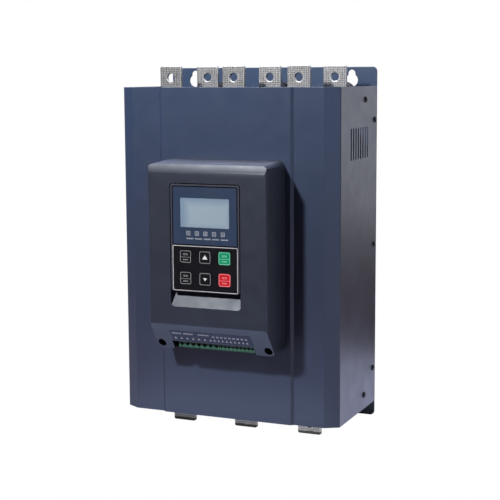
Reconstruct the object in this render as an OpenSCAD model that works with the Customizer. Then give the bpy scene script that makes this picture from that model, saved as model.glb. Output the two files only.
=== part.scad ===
// Wall-hung three-phase motor soft starter.
// Millimetres. +X to the right, +Z up, the front faces -Y.
// The origin lies on the rear face of the back plate, on the body's centre line,
// at half the height of the folded cover.

/* [Case] */
// Width of the folded cover and of the back plate
body_w = 300; // [296:1:310]
// Height of the folded cover
body_h = 426; // [424:1:430]
// Depth from the wall to the cover's outer front flats
body_d = 155.8; // [154:0.2:160]
// Thickness of the cover's sheet
sheet = 1.5; // [1:0.1:2]
// How far the centre of the front stands proud of the flats
raise = 3.4; // [2:0.2:5]
// Half width of the raised centre
raise_w = 88.7; // [87:0.1:92]
// Width of the bevel at each front corner
bevel_x = 17.8; // [12:0.2:22]
// Depth of the bevel at each front corner
bevel_y = 10.2; // [6:0.2:14]
// Height of the back plate above the cover
plate_up = 25; // [24:0.5:32]
// Height of the back plate below the cover
plate_down = 20; // [16:0.5:24]

/* [Wall holes] */
// Half spacing of the wall holes, left to right
hole_x = 115; // [110:0.5:120]
// Radius of the narrow end of the keyholes and of the lower holes
hole_r = 5; // [4:0.25:5.5]
// Radius of the wide end of the keyholes
key_r = 8.5; // [8:0.25:10]

/* [Side vents] */
// Number of slots in each side
vent_n = 8; // [4:1:8]
// Pitch of the slots
vent_p = 9.4; // [8:0.2:10]
// Width of a slot
vent_w = 4; // [3:0.2:5]
// Height of a slot
vent_h = 41; // [30:1:50]

/* [Busbars] */
// Spacing of the phases
pitch = 91; // [90:0.5:92]
// Offset of the input and bypass bars from the phase's centre line
bar_off = 17; // [16:0.5:18]
// Width of the input and bypass bars
bar_w = 31; // [29:0.5:32]
// Width of the output bars
out_w = 32; // [30:0.5:33]
// Thickness of the bars
bar_t = 5; // [4:0.5:6]
// Radius of the terminal holes
lug_r = 5.5; // [4.5:0.25:6]
// Height of the bars above the cover
bar_up = 27; // [24:0.5:32]
// Drop of the bars below the cover
bar_down = 27.5; // [24:0.5:32]

/* [Control box] */
// Width of the control box at its front
box_w = 160; // [156:1:164]
// Depth of the control box in front of the cover
box_d = 57; // [55:0.5:60]
// Height of the control box's top
box_top = 122.5; // [120:0.5:126]
// Height of the crease above the sloped lower face
crease = -82; // [-84:0.5:-80]
// Height of the control box's lower edge
box_bot = -118.5; // [-120:0.5:-118]
// Wall of the moulded shell
wall = 2.5; // [2:0.1:3]
// Radius of the crown at the top of the control box's front
crown_r = 39; // [34:0.5:48]
// Draft of the control box's top, in degrees
top_a = 3.2; // [2:0.1:4]
// Radius of the crease above the sloped lower face
crease_r = 4; // [3.2:0.1:6]
// Radius of the control box's upright front edges
edge_r = 3.5; // [3.2:0.1:6]

/* [Keypad] */
// Centre of the keypad, left to right
kx = -1.9; // [-4:0.1:2]
// Width of the keypad
kp_w = 92.6; // [92:0.1:93]
// Top of the keypad
kp_top = 95.3; // [95.2:0.1:95.6]
// Bottom of the keypad
kp_bot = -38.5; // [-39:0.1:-38.2]
// Gap between the keypad and its pocket on three sides
kp_gap = 1.3; // [1:0.1:1.6]
// Size of a key
key_s = 16; // [14:0.5:16.5]
// Spacing of the keys, left to right
key_px = 26.4; // [25:0.2:27]
// Travel of a key
key_travel = 0.8; // [0.4:0.1:0.8]

/* [Hidden] */
$fn = 48;
hw = body_w / 2;
hh = body_h / 2;
yf = -(body_d + raise);          // outer face of the raised centre
ycv = -2.2;                      // rear edge of the cover's sides
p_top = hh + plate_up;
p_bot = -hh - plate_down;
key_z = p_top - 8.7;               // centre of a keyhole's narrow end
big_z = p_top - 17.5;            // centre of a keyhole's wide end
low_z = p_bot + 10;              // centre of the lower wall holes
side_screws = [[-50, hh - 17], [-48, -hh + 19], [-10.5, 169], [-10.5, 3.5], [-10.5, -165]];
phases = [-pitch, 0, pitch];
y_hs = -55;                      // front of the heat sink's base
y_m = -87;                       // tops of the modules' terminals
y1 = y_m - bar_t;                // front of the first layer of bars
y2 = y1 - bar_t;                 // front of the second layer of bars
y_r = -50;                       // front of the rear row of bars
t_z = [33, 0, -33];              // terminals of a module, top to bottom
z_top = hh + bar_up;
z_low = -hh - bar_down;
in_z = z_top - 15;               // terminal holes of the upper bars
out_z = z_low + 14;              // terminal holes of the output bars
sup_z = hh - 18;                 // screws that hold the input bars
rsup_z = hh - 9.5;              // screws that hold the bypass bars
low_sup_z = -188;                // screws that hold the output bars
fan_y = -32.5;
fan_z = -176;                    // underside of the fans
st_x = [-50, 41];                // standoffs of the trigger board
st_z = [-70, 70];
y_tb = -120;                     // back of the trigger board
bf = yf - box_d;                 // front face of the control box
sl_y = bf + 27;                  // foot of the sloped face
sl_a = atan2(sl_y - bf, crease - box_bot);
crown_z = box_top - 18.8;        // where the crown leaves the front face
ear_x = 73.5;
ear_z = -111;
pk_w = kp_w + 2 * kp_gap;
pk_top = kp_top + kp_gap;
pk_bot = -58.5;
pk_lip = kp_bot - 2;             // top of the finger ramp
ramp_d = 10.4;                   // depth of the finger ramp
pk_y = bf + 20;                  // floor of the keypad's pocket
kf = bf;                         // front of the keypad
kz = [5.3, -21.7];
lcd = [66, 42, 78.4];            // window: width, bottom, top
y_cb = -176;                     // front of the control board
cb_x = 68;
cb_z = [-95, 50];
term_y = -190;                   // front of the terminal blocks
term_z = [-116.5, -105];
term_s = -110.7;                 // height of the terminals' screws
term_n = 3.5;                    // nose of the terminal blocks
rel_x = -50;                     // left end of the relay block
rel_n = 7;
rel_p = 8;
sig_x = 6.4;                     // left end of the signal block
sig_n = 9;
sig_p = 5.35;
plug_z = 28;

// ---- helpers -------------------------------------------------------------

// Right-hand normal of the line from a to b
function nrm(a, b) = let (d = b - a, l = norm(d)) [d[1] / l, -d[0] / l];
// An open line of points, shifted sideways by t with mitred corners
function shifted(p, t) = [for (i = [0 : len(p) - 1])
  let (n1 = i > 0 ? nrm(p[i - 1], p[i]) : nrm(p[0], p[1]),
       n2 = i < len(p) - 1 ? nrm(p[i], p[i + 1]) : n1)
  p[i] + t * (n1 + n2) / (1 + n1 * n2)];
function rev(p) = [for (i = [len(p) - 1 : -1 : 0]) p[i]];

// Rectangle from (x0, y0) to (x1, y1) with round corners
module rr(x0, y0, x1, y1, r) {
  translate([x0 + r, y0]) square([x1 - x0 - 2 * r, y1 - y0]);
  translate([x0, y0 + r]) square([x1 - x0, y1 - y0 - 2 * r]);
  for (x = [x0 + r, x1 - r], y = [y0 + r, y1 - r]) translate([x, y]) circle(r = r);
}
// A drawing in X and Z, extruded from y towards the front by t
module front_plate(y, t) { translate([0, y, 0]) rotate([90, 0, 0]) linear_extrude(t) children(); }
// A drawing in Y and Z, extruded from x towards the right by t
module side_plate(x, t) { translate([x, 0, 0]) rotate([90, 0, 90]) linear_extrude(t) children(); }
// A round bar from y towards the front
module ycyl(x, y, z, r, h) { translate([x, y, z]) rotate([90, 0, 0]) cylinder(r = r, h = h); }
// A round bar along X, from x
module xcyl(x, y, z, r, h) { translate([x, y, z]) rotate([0, 90, 0]) cylinder(r = r, h = h); }
// A box from one corner to the other
module bx(a, b) { translate(a) cube(b - a); }

// Hexagon bolt with a washer: its seat at y, its shank going back by l
module hex_bolt(x, y, z, d, l) {
  ycyl(x, y, z, d, 1.6);
  translate([x, y - 1.6, z]) rotate([90, 0, 0]) cylinder(r = d * 0.85, h = d * 0.65, $fn = 6);
  ycyl(x, y + l, z, d / 2, l);
}
// Round-headed screw along Y: its seat at y, its shank going back by l
module pan_y(x, y, z, d, l) {
  difference() {
    translate([x, y, z]) rotate([90, 0, 0]) cylinder(r1 = d * 0.95, r2 = d * 0.72, h = d * 0.6);
    for (a = [0, 90]) translate([x, y - d * 0.5, z]) rotate([0, a, 0])
      cube([d * 1.0, d * 0.5, d * 0.2], center = true);
  }
  ycyl(x, y + l, z, d / 2, l);
}

// ---- case ----------------------------------------------------------------

module keyhole(x) {
  ycyl(x, 1, big_z, key_r, 4);
  ycyl(x, 1, key_z, hole_r, 4);
  bx([x - hole_r, -3, big_z], [x + hole_r, 1, key_z]);
}

module back_plate() color([0.27, 0.34, 0.46]) difference() {
  union() {
    front_plate(0, 2) rr(-hw, p_bot, hw, p_top, 6);
    for (s = [-1, 1])
      bx([s * (hw - 2.7) - 1, -20, -205], [s * (hw - 2.7) + 1, -2, 205]);
  }
  for (s = [-1, 1]) {
    keyhole(s * hole_x);
    ycyl(s * hole_x, 1, low_z, hole_r, 4);
    for (q = [2, 3, 4]) xcyl(s * (hw - 2.7) - 2, side_screws[q][0], side_screws[q][1], 2.6, 4);
    for (z = [-120, 120]) translate([s * 134, 0.01, z]) rotate([90, 0, 0])
      cylinder(r1 = 5.2, r2 = 2.6, h = 2.1);
  }
}

// Outer line of the cover's section, from the left rear edge round to the right
cover_line = [[-hw, ycv], [-hw, -body_d + bevel_y], [-hw + bevel_x, -body_d],
  [-raise_w - 3.6, -body_d], [-raise_w, yf], [raise_w, yf], [raise_w + 3.6, -body_d],
  [hw - bevel_x, -body_d], [hw, -body_d + bevel_y], [hw, ycv]];

module vent_slot(y) {
  translate([y - vent_w / 2, -vent_h / 2 + vent_w / 2]) square([vent_w, vent_h - vent_w]);
  for (s = [-1, 1]) translate([y, s * (vent_h - vent_w) / 2]) circle(r = vent_w / 2, $fn = 24);
}

module front_cover() color([0.25, 0.30, 0.41]) difference() {
  translate([0, 0, -hh]) linear_extrude(body_h)
    polygon(concat(cover_line, rev(shifted(cover_line, -sheet))));
  for (s = [-1, 1]) {
    side_plate(s * hw - 5, 10) for (i = [0 : vent_n - 1])
      translate([0, hh - 72.3]) vent_slot(-106.4 + i * vent_p);
    for (q = side_screws) xcyl(s * hw - 5, q[0], q[1], 2.7, 10);
    ycyl(s * ear_x, yf + 5, ear_z, 2.3, 10);
  }
  bx([-45, yf - 2, -20], [45, yf + 5, 60]);
}

module cover_screws() color([0.10, 0.10, 0.11]) for (s = [-1, 1], q = side_screws)
  mirror([s < 0 ? 1 : 0, 0, 0]) translate([hw, q[0], q[1]]) rotate([0, 90, 0]) {
    difference() {
      cylinder(r1 = 4.4, r2 = 3.4, h = 2.6);
      for (a = [0, 90]) rotate([0, 0, a]) translate([0, 0, 2.2]) cube([4.4, 0.9, 2], center = true);
    }
    translate([0, 0, -8]) cylinder(r = 2.5, h = 8);
  }

// End of a bracket, from y towards the wall, with the hole of screw q
module bracket_tab(s, y, z0, z1, q) difference() {
  bx([s * (hw - 2.7) - 1, y, z0], [s * (hw - 2.7) + 1, q[0] + 12, z1]);
  xcyl(s * (hw - 2.7) - 2, q[0], q[1], 2.6, 4);
}

module upper_bracket() color([0.72, 0.73, 0.75]) {
  for (s = [-1, 1]) bracket_tab(s, -62, hh - 30, hh - 7, side_screws[0]);
  difference() {
    bx([-hw + 3.7, -62, hh - 30], [hw - 3.7, -60, hh - 7]);
    for (p = phases) ycyl(p - bar_off, -58, sup_z, 3.2, 6);
  }
}

module lower_bracket() color([0.72, 0.73, 0.75]) {
  for (s = [-1, 1]) bracket_tab(s, -67, -204, -172, side_screws[1]);
  difference() {
    union() {
      bx([-hw + 3.7, -67, -197], [hw - 3.7, -65, fan_z]);
      bx([-hw + 3.7, -65, fan_z - 2], [hw - 3.7, -3, fan_z]);
    }
    for (p = phases) {
      ycyl(p, -63, low_sup_z, 3.2, 6);
      translate([p, fan_y, fan_z - 4]) cylinder(r = 28, h = 6);
      for (x = [-25, 25], y = [-25, 25]) translate([p + x, fan_y + y, fan_z - 4]) cylinder(r = 2.2, h = 6);
    }
    for (s = [-1, 1]) bx([s * (hw - 2.7) - 2, -22, fan_z - 4], [s * (hw - 2.7) + 2, 0, fan_z + 1]);
  }
}

// ---- power section -------------------------------------------------------

module heat_sink() color([0.78, 0.79, 0.80]) difference() {
  union() {
    bx([-137, y_hs, -150], [137, -45, 150]);
    for (s = [-1, 1]) bx([s * 134 - 3, -45, -150], [s * 134 + 3, -2, 150]);
    for (i = [-14 : 14]) bx([i * 9 - 1.2, -45, -150], [i * 9 + 1.2, -4, 150]);
  }
  for (p = phases, z = [-51, 51]) ycyl(p - bar_off, -44, z, 2.6, 12);
  for (x = st_x, z = st_z) ycyl(x, -44, z, 1.7, 12);
  for (s = [-1, 1], z = [-120, 120]) ycyl(s * 134, 0, z, 2.6, 18);
}

module heat_sink_screws() color([0.6, 0.6, 0.62]) for (s = [-1, 1], z = [-120, 120]) {
  translate([s * 134, 0, z]) rotate([90, 0, 0]) difference() {
    cylinder(r1 = 5, r2 = 2.5, h = 2);
    translate([0, 0, 0.4]) cube([5, 1, 1], center = true);
  }
  ycyl(s * 134, -2, z, 2.5, 13);
}

module thyristor(p) color([0.16, 0.16, 0.17]) let (x = p - bar_off) difference() {
  union() {
    bx([x - 25, y_hs - 4, -58], [x + 25, y_hs, 58]);
    bx([x - 25, -84.5, -46], [x + 25, y_hs - 4, 46]);
    bx([x - 9, -86, -45], [x + 9, -84.5, 45]);
    for (z = t_z) ycyl(x, -84.5, z, 8.5, -y_m - 84.5);
    for (q = [-1, 1]) bx([x + q * 19 - 2.4, -90, 42], [x + q * 19 + 2.4, -84.5, 42.8]);
  }
  for (z = t_z) ycyl(x, -73, z, 4.1, 20);
  for (z = [-51, 51]) ycyl(x, y_hs + 2, z, 3.2, 8);
}
module thyristor_module_a() thyristor(phases[0]);
module thyristor_module_b() thyristor(phases[1]);
module thyristor_module_c() thyristor(phases[2]);

module module_screws() color([0.6, 0.6, 0.62]) for (p = phases, z = [-51, 51])
  pan_y(p - bar_off, y_hs - 4, z, 5, 12);

module input_bar(p) color([0.74, 0.74, 0.73]) let (x = p - bar_off) difference() {
  front_plate(y_m, bar_t) rr(x - bar_w / 2, 18, x + bar_w / 2, z_top, 2.5);
  ycyl(x, y_m + 1, t_z[0], 4.5, bar_t + 2);
  ycyl(x, y_m + 1, sup_z, 3.3, bar_t + 2);
  ycyl(x, y_m + 1, in_z, lug_r, bar_t + 2);
}
module input_bar_a() input_bar(phases[0]);
module input_bar_b() input_bar(phases[1]);
module input_bar_c() input_bar(phases[2]);

module bypass_bar(p) color([0.74, 0.74, 0.73])
  let (x = p - bar_off, xb = p + bar_off, r = xb + bar_w / 2) difference() {
    union() {
      front_plate(y_m, bar_t) polygon([[x - 14, -47], [r, -47], [r, 177], [r - 20, 177],
        [r - 20, 12], [x - 14, 12]]);
      bx([r - 20, y1 + bar_t, 172], [r, y_r, 177]);
      front_plate(y_r + bar_t, bar_t) rr(xb - bar_w / 2, 172, r, z_top, 2.5);
    }
    for (z = [t_z[1], t_z[2]]) ycyl(x, y_m + 1, z, 4.5, bar_t + 2);
    ycyl(xb, y_r + bar_t + 1, rsup_z, 3.3, bar_t + 2);
    ycyl(xb, y_r + bar_t + 1, in_z, lug_r, bar_t + 2);
  }
module bypass_bar_a() bypass_bar(phases[0]);
module bypass_bar_b() bypass_bar(phases[1]);
module bypass_bar_c() bypass_bar(phases[2]);

module output_bar(p) color([0.74, 0.74, 0.73]) let (x = p - bar_off) difference() {
  union() {
    front_plate(y1, bar_t) rr(p - out_w / 2, z_low, p + out_w / 2, 12, 2.5);
    front_plate(y1, bar_t) rr(x - 14, -47, p + 5, 12, 2.5);
  }
  for (z = [t_z[1], t_z[2]]) ycyl(x, y1 + 1, z, 4.5, bar_t + 2);
  ycyl(p, y1 + 1, low_sup_z, 3.3, bar_t + 2);
  ycyl(p, y1 + 1, out_z, lug_r, bar_t + 2);
}
module output_bar_a() output_bar(phases[0]);
module output_bar_b() output_bar(phases[1]);
module output_bar_c() output_bar(phases[2]);

module terminal_bolts() color([0.66, 0.62, 0.45]) for (p = phases) {
  hex_bolt(p - bar_off, y1, t_z[0], 8, 16);
  for (z = [t_z[1], t_z[2]]) hex_bolt(p - bar_off, y2, z, 8, 20);
}

// Ribbed post from y towards the front by l, with a threaded hole in its front end
module insulator(x, y, z, l) translate([x, y, z]) rotate([90, 0, 0]) difference() {
  union() {
    cylinder(r = 12, h = l);
    for (k = [0.12, 0.42, 0.72]) translate([0, 0, k * l]) cylinder(r = 15, h = 0.16 * l);
  }
  translate([0, 0, l - 12]) cylinder(r = 3.1, h = 13);
}
module short_insulators() color([0.13, 0.12, 0.12]) for (p = phases) {
  insulator(p - bar_off, -62, sup_z, -y_m - 62);
  insulator(p, -67, low_sup_z, -y1 - 67);
}
module tall_insulators() color([0.13, 0.12, 0.12]) for (p = phases)
  insulator(p + bar_off, -2, rsup_z, -y_r - bar_t - 2);
module insulator_screws() color([0.6, 0.6, 0.62]) for (p = phases) {
  hex_bolt(p - bar_off, y1, sup_z, 6, 14);
  hex_bolt(p + bar_off, y_r, rsup_z, 6, 14);
  hex_bolt(p, y2, low_sup_z, 6, 14);
}

module current_transformer(p) color([0.12, 0.14, 0.22]) let (yc = y1 - bar_t / 2) difference() {
  translate([0, 0, -126]) linear_extrude(22) rr(p - 29, yc - 23, p + 29, yc + 23, 6);
  bx([p - out_w / 2 - 0.3, yc - bar_t / 2 - 0.3, -130], [p + out_w / 2 + 0.3, yc + bar_t / 2 + 0.3, -100]);
}
module current_transformer_a() current_transformer(phases[0]);
module current_transformer_b() current_transformer(phases[1]);
module current_transformer_c() current_transformer(phases[2]);

// ---- cooling -------------------------------------------------------------

module fan_frame(p) color([0.09, 0.09, 0.10]) translate([p, fan_y, fan_z]) {
  difference() {
    linear_extrude(25) rr(-30, -30, 30, 30, 4);
    translate([0, 0, -1]) cylinder(r = 28.5, h = 27);
    for (x = [-25, 25], y = [-25, 25]) translate([x, y, -1]) cylinder(r = 2.2, h = 27, $fn = 24);
  }
  difference() {
    union() {
      cylinder(r = 14, h = 6);
      for (a = [45, 165, 285]) rotate([0, 0, a]) bx([12, -2, 0], [28.7, 2, 3]);
    }
    translate([0, 0, 1]) cylinder(r = 1.55, h = 6);
  }
}
module fan_frame_a() fan_frame(phases[0]);
module fan_frame_b() fan_frame(phases[1]);
module fan_frame_c() fan_frame(phases[2]);

module fan_rotor(p) color([0.11, 0.11, 0.12]) translate([p, fan_y, fan_z]) {
  translate([0, 0, 1.5]) cylinder(r = 1.5, h = 6);
  translate([0, 0, 6.6]) cylinder(r = 14.5, h = 16.4);
  intersection() {
    translate([0, 0, 7.5]) cylinder(r = 27.2, h = 15);
    union() for (k = [0 : 6]) rotate([0, 0, k * 360 / 7]) translate([0, 0, 15]) rotate([40, 0, 0])
      bx([13, -0.8, -12], [29, 0.8, 12]);
  }
}
module fan_rotor_a() fan_rotor(phases[0]);
module fan_rotor_b() fan_rotor(phases[1]);
module fan_rotor_c() fan_rotor(phases[2]);

module fan_screws() color([0.6, 0.6, 0.62]) for (p = phases, x = [-25, 25], y = [-25, 25])
  translate([p + x, fan_y + y, fan_z - 2]) {
    cylinder(r = 2, h = 16, $fn = 24);
    translate([0, 0, -2.4]) cylinder(r1 = 2.8, r2 = 3.8, h = 2.4, $fn = 24);
  }

module thermal_switch() color([0.75, 0.75, 0.76]) {
  ycyl(-50, y_hs, 115, 9, 6);
  bx([-59, y_hs - 1, 111], [-41, y_hs, 119]);
  for (s = [-1, 1]) bx([-50 + s * 5 - 0.4, y_hs - 13, 112], [-50 + s * 5 + 0.4, y_hs - 6, 118]);
}

// ---- trigger electronics ---------------------------------------------------

module trigger_board() color([0.05, 0.32, 0.16]) difference() {
  union() {
    bx([-100, y_tb - 1.6, -85], [100, y_tb, 95]);
    for (x = [-88, -26, 50]) bx([x, y_tb - 11, -78], [x + 28, y_tb - 1.6, -68]);
    for (i = [0 : 3]) ycyl(-80 + i * 14, y_tb - 1.6, 78, 5, 15);
    bx([20, y_tb - 9, 79], [72, y_tb - 1.6, 88]);
    for (i = [0 : 2]) bx([-14 + i * 24, y_tb - 5, 40], [2 + i * 24, y_tb - 1.6, 48]);
  }
  for (x = st_x, z = st_z) ycyl(x, y_tb + 1, z, 1.7, 5);
}

module board_standoffs() color([0.75, 0.66, 0.36]) for (x = st_x, z = st_z) difference() {
  translate([x, y_hs, z]) rotate([90, 0, 0]) cylinder(r = 4.4, h = -y_tb + y_hs, $fn = 6);
  ycyl(x, y_tb + 10, z, 1.7, 11);
}

module pulse_transformers() color([0.15, 0.15, 0.16]) for (i = [0 : 5])
  bx([-90 + i * 32, y_tb - 17, -30], [-70 + i * 32, y_tb - 1.6, -12]);

module board_screws() color([0.6, 0.6, 0.62]) {
  for (x = st_x, z = st_z) pan_y(x, y_tb - 1.6, z, 3, 8);
  for (s = [-1, 1], z = cb_z) mirror([0, 1, 0]) pan_y(s * cb_x, -y_cb - 1.6, z, 3, 9);
}

// ---- control box -----------------------------------------------------------

// The moulded body, shrunk all round by o, and open at the back
module box_solid(o) {
  yb = yf + (o > 0 ? 1 : 0);
  t = tan(sl_a / 2) * crease_r;
  intersection() {
    side_plate(-100, 200) {
      polygon([[yb, box_top + 10], [bf + o, box_top + 10], [bf + o, crease + t],
        [bf + t * sin(sl_a) + o * cos(sl_a), crease - t * cos(sl_a) + o * sin(sl_a)],
        [sl_y + (o > 0 ? o * 0.75 : 0), box_bot + o], [yb, box_bot + o]]);
      translate([bf + crease_r, crease + t]) circle(r = crease_r - o);
    }
    side_plate(-100, 200) {
      translate([bf + crown_r, crown_z]) circle(r = crown_r - o);
      translate([bf + crown_r, box_bot - 10]) square([60, box_top - box_bot + 40]);
      translate([bf + o, box_bot - 10]) square([60, crown_z - box_bot + 10]);
    }
    translate([0, 0, -150]) linear_extrude(300) {
      polygon([[-box_w / 2 - 2 + o, yb], [-box_w / 2 + o, bf + edge_r], [-box_w / 2 + edge_r, bf + o],
        [box_w / 2 - edge_r, bf + o], [box_w / 2 - o, bf + edge_r], [box_w / 2 + 2 - o, yb]]);
      for (s = [-1, 1]) translate([s * (box_w / 2 - edge_r), bf + edge_r]) circle(r = edge_r - o);
    }
    front_plate(yf + 20, box_d + 40) {
      polygon([[-box_w / 2 - 2 + o, box_bot + 9], [-box_w / 2 + 7, box_bot + o], [box_w / 2 - 7, box_bot + o],
        [box_w / 2 + 2 - o, box_bot + 9], [box_w / 2 + 2 - o, box_top + 10], [-box_w / 2 - 2 + o, box_top + 10]]);
      for (s = [-1, 1]) translate([s * (box_w / 2 - 7), box_bot + 9]) circle(r = 9 - o);
    }
    translate([0, yf, box_top]) rotate([top_a, 0, 0]) front_plate(40, box_d + 80) {
      polygon([[-box_w / 2 - 8, -300], [box_w / 2 + 8, -300], [box_w / 2 + 8, -9], [box_w / 2 + 2 - o, -9],
        [box_w / 2 - 7, -o], [-box_w / 2 + 7, -o], [-box_w / 2 - 2 + o, -9], [-box_w / 2 - 8, -9]]);
      for (s = [-1, 1]) translate([s * (box_w / 2 - 7), -9]) circle(r = 9 - o);
    }
  }
}

// The room for the keypad, with the finger ramp below it
module pocket() intersection() {
  side_plate(kx - 60, 120) polygon([[bf - 1, pk_bot], [bf, pk_bot], [bf + ramp_d, pk_lip],
    [pk_y, pk_lip], [pk_y, pk_top], [bf - 1, pk_top]]);
  front_plate(pk_y + 1, 30) {
    rr(kx - pk_w / 2, pk_bot, kx + pk_w / 2, pk_top, 4.5);
  }
}

module control_shell() color([0.20, 0.21, 0.25]) difference() {
  union() {
    difference() { box_solid(0); box_solid(wall); }
    intersection() {
      box_solid(0);
      union() {
        bx([kx - pk_w / 2 - 2, bf, pk_bot - 2], [kx + pk_w / 2 + 2, pk_y + 2, pk_top + 2]);
        for (s = [-1, 1]) {
          for (z = cb_z) ycyl(s * cb_x, y_cb, z, 4, -bf + y_cb);
          ycyl(s * ear_x, yf, ear_z, 7, box_d);
        }
      }
    }
  }
  pocket();
  side_plate(kx - pk_w / 2, pk_w) polygon([[bf + 4.5, pk_bot - 2.1], [bf + ramp_d + 2, pk_lip - 2.5],
    [pk_y + 2.1, pk_lip - 2.5], [pk_y + 2.1, pk_bot - 2.1]]);
  bx([kx - 11, pk_y - 1, plug_z - 6], [kx + 11, pk_y + 3, plug_z + 6]);
  bx([-58, bf - 2, box_bot - 2], [55, yf - 5, -106.9]);
  for (s = [-1, 1]) {
    ycyl(s * ear_x, yf - 4, ear_z, 5.3, box_d);
    ycyl(s * ear_x, yf + 1, ear_z, 2.3, 10);
    for (z = cb_z) ycyl(s * cb_x, y_cb + 1, z, 1.6, 12);
  }
}

module shell_screws() color([0.10, 0.10, 0.11]) for (s = [-1, 1]) pan_y(s * ear_x, yf - 4, ear_z, 4, 14);

module control_board() color([0.05, 0.32, 0.16]) difference() {
  union() {
    bx([-72.5, y_cb, -103], [72.5, y_cb + 1.6, 58]);
    bx([-65.5, y_cb, -115.4], [65.5, y_cb + 1.6, -102]);
    bx([-60, y_cb - 7, -30], [-34, y_cb, -4]);
    for (i = [0 : 2]) bx([-44 + i * 24, y_cb - 12, -88], [-26 + i * 24, y_cb, -74]);
    bx([18, y_cb - 5, -40], [58, y_cb, -32]);
    keypad_socket();
  }
  for (s = [-1, 1], z = cb_z) ycyl(s * cb_x, y_cb + 3, z, 1.7, 5);
}

module keypad_socket() difference() {
  bx([kx - 13, y_cb - 16, plug_z - 8], [kx + 13, y_cb, plug_z + 8]);
  bx([kx - 10.2, y_cb - 17, plug_z - 5.2], [kx + 10.2, y_cb - 6, plug_z + 5.2]);
}

// A row of n screw terminals of pitch q: screws from the front, wires from below
module terminals(x, n, q, e) difference() {
  union() {
    bx([x, term_y, term_z[0]], [x + n * q, y_cb, term_z[1]]);
    bx([x, term_y - term_n, term_z[0] + 1.7], [x + n * q, term_y + 1, term_z[1]]);
  }
  for (i = [0 : n - 1]) {
    ycyl(x + (i + 0.5) * q, term_y + 5.5, term_s, q * 0.27, 12);
    bx([x + (i + 0.5) * q - e / 2, term_y + 6, term_z[0] - 1], [x + (i + 0.5) * q + e / 2, term_y + 12, term_z[0] + 5]);
    bx([x + (i + 0.5) * q - q * 0.2, term_y - term_n - 1, -114.2], [x + (i + 0.5) * q + q * 0.2, term_y - term_n + 1.4, -113.5]);
  }
}
module relay_terminals() color([0.24, 0.46, 0.32]) terminals(rel_x, rel_n, rel_p, 5.4);
module signal_terminals() color([0.24, 0.46, 0.32]) terminals(sig_x, sig_n, sig_p, 3.6);

module clamp_screw(x, r) difference() {
  ycyl(x, term_y + 5.5, term_s, r, 3.5);
  bx([x - r, term_y + 1, term_s - 0.4], [x + r, term_y + 2.8, term_s + 0.4]);
}
module terminal_screws() color([0.7, 0.7, 0.7]) {
  for (i = [0 : rel_n - 1]) clamp_screw(rel_x + (i + 0.5) * rel_p, 1.9);
  for (i = [0 : sig_n - 1]) clamp_screw(sig_x + (i + 0.5) * sig_p, 1.25);
}

module terminal_label() color([0.16, 0.19, 0.32]) translate([0, bf, crease]) rotate([sl_a, 0, 0])
  bx([-56, -0.31, -29], [55, -0.01, -11.5]);

// ---- keypad ----------------------------------------------------------------

kl = kx - kp_w / 2;
kr = kx + kp_w / 2;
keys_at = [[kx - key_px, kz[0]], [kx, kz[0]], [kx + key_px, kz[0]],
           [kx - key_px, kz[1]], [kx, kz[1]], [kx + key_px, kz[1]]];
module key_holes() for (k = keys_at) translate(k)
  rr(-key_s / 2 - 0.3, -key_s / 2 - 0.3, key_s / 2 + 0.3, key_s / 2 + 0.3, 2.8);

module keypad_frame() color([0.10, 0.10, 0.11]) difference() {
  union() {
    difference() {
      front_plate(kf + 15.2, 15.2) rr(kl, kp_bot, kr, kp_top, 3);
      front_plate(kf + 16, 13) rr(kl + 2, kp_bot + 2, kr - 2, kp_top - 2, 2);
    }
    for (s = [-1, 1], z = [kp_bot + 6, kp_top - 5.5]) ycyl(kx + s * 39.5, kf + 10.2, z, 3, 7.5);
  }
  front_plate(kf + 0.8, 2) rr(kl + 1.8, kp_bot + 0.5, kr - 1.8, kp_top - 1.8, 2.5);
  front_plate(kf + 4, 5) {
    rr(kx - lcd[0] / 2 + 1, lcd[1] + 1, kx + lcd[0] / 2 - 1, lcd[2] - 1, 1);
    key_holes();
  }
}

module keypad_back() color([0.10, 0.10, 0.11]) difference() {
  front_plate(kf + 17.6, 2.4) rr(kl, kp_bot, kr, kp_top, 3);
  bx([kx - 10.1, kf + 14, plug_z - 5.1], [kx + 10.1, kf + 19, plug_z + 5.1]);
}

module display_overlay() color([0.22, 0.28, 0.40]) difference() {
  front_plate(kf + 0.8, 0.8) rr(kl + 1.9, 19.4, kr - 1.9, kp_top - 1.9, 2.4);
  front_plate(kf + 2, 4) rr(kx - lcd[0] / 2, lcd[1], kx + lcd[0] / 2, lcd[2], 1);
}

module display_window() color([0.62, 0.70, 0.76, 0.5]) front_plate(kf + 0.8, 0.8)
  rr(kx - lcd[0] / 2 + 0.1, lcd[1] + 0.1, kx + lcd[0] / 2 - 0.1, lcd[2] - 0.1, 0.9);

module key_panel() color([0.07, 0.07, 0.08]) difference() {
  front_plate(kf + 0.8, 0.8) rr(kl + 1.9, kp_bot + 0.6, kr - 1.9, 19.2, 2.4);
  front_plate(kf + 2, 4) key_holes();
}

module lcd_module() color([0.60, 0.68, 0.74]) {
  bx([kx - 37, kf + 3.1, 36.5], [kx + 37, kf + 10.2, 84.5]);
  bx([kx - lcd[0] / 2 + 1.5, kf + 0.9, lcd[1] + 1.5], [kx + lcd[0] / 2 - 1.5, kf + 4, lcd[2] - 1.5]);
}

module keypad_board() color([0.05, 0.32, 0.16]) {
  bx([kl + 2.8, kf + 10.2, kp_bot + 2.8], [kr - 2.8, kf + 11.8, kp_top - 2.8]);
  keypad_plug();
}

module key_switches() color([0.2, 0.2, 0.21]) for (k = keys_at) {
  bx([k[0] - 3, kf + 8, k[1] - 3], [k[0] + 3, kf + 10.2, k[1] + 3]);
  ycyl(k[0], kf + 8, k[1], 1.7, 0.8);
}

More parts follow.
